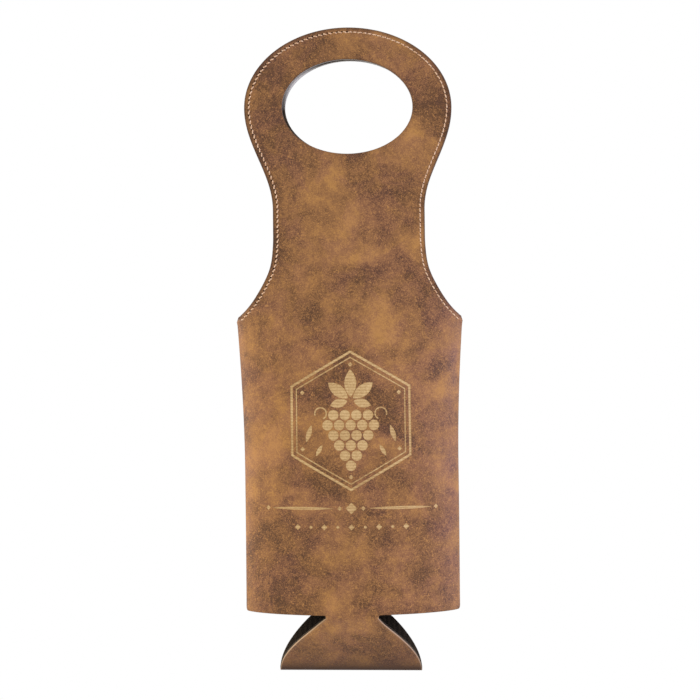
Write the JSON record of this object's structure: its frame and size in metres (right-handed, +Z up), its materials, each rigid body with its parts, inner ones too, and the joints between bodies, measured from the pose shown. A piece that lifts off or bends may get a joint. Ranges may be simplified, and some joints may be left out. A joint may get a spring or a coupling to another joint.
{
  "type": "bottle carrier",
  "caption": "Soft leatherette sleeve for one bottle, with a ring handle and hand hole above and a round base that hangs folded in a V below.",
  "frame": {"origin": "the centre of the hand hole, midway between the front and back handles", "axes": "+Z up along the carrier, +X across it to the viewer's right, the front faces -Y"},
  "size_m": [0.14, 0.05, 0.4033],
  "materials": {
    "leatherette": "mottled brown leatherette with a fine grain and a soft sheen",
    "lining": "black soft foam-backed knit",
    "edge_thread": "tan lockstitch thread",
    "seam_thread": "brown seam thread"
  },
  "bodies": {
    "front_sleeve": {"front_leather_sleeve": "leatherette", "front_lining_sleeve": "lining", "left_side_seam": "seam_thread", "right_side_seam": "seam_thread"},
    "front_handle": {"front_leather_handle": "leatherette", "front_lining_handle": "lining", "front_edge_stitching": "edge_thread"},
    "back_sleeve": {"back_leather_sleeve": "leatherette", "back_lining_sleeve": "lining"},
    "back_handle": {"back_leather_handle": "leatherette", "back_lining_handle": "lining", "back_edge_stitching": "edge_thread"},
    "base_front": {"base_front_leather": "leatherette", "base_front_lining": "lining"},
    "base_back": {"base_back_leather": "leatherette", "base_back_lining": "lining"}
  },
  "joints": [
    {"name": "front_handle_bend", "type": "hinge", "parent": "front_sleeve", "child": "front_handle", "pos_m": [0, -0.01827, -0.1315], "axis": [1, 0, 0], "range_deg": [0, 35], "stiffness_Nm_per_rad": 0.06},
    {"name": "back_handle_bend", "type": "hinge", "parent": "back_sleeve", "child": "back_handle", "pos_m": [0, 0.01827, -0.1315], "axis": [-1, 0, 0], "range_deg": [0, 35], "stiffness_Nm_per_rad": 0.06},
    {"name": "sleeve_open", "type": "hinge", "parent": "front_sleeve", "child": "back_sleeve", "pos_m": [0, 0, 0.05], "axis": [1, 0, 0], "range_deg": [0, 6], "stiffness_Nm_per_rad": 0.1},
    {"name": "base_front_fold", "type": "hinge", "parent": "front_sleeve", "child": "base_front", "pos_m": [0, -0.02241, -0.3138], "axis": [1, 0, 0], "range_deg": [0, 38.9]},
    {"name": "base_back_fold", "type": "hinge", "parent": "base_front", "child": "base_back", "pos_m": [0, 0, -0.35352], "axis": [-1, 0, 0], "range_deg": [0, 71.7]}
  ],
  "couplings": [
    {"joint": "base_front_fold", "follows": "sleeve_open", "ratio": 6.4711},
    {"joint": "base_back_fold", "follows": "sleeve_open", "ratio": 11.942}
  ]
}
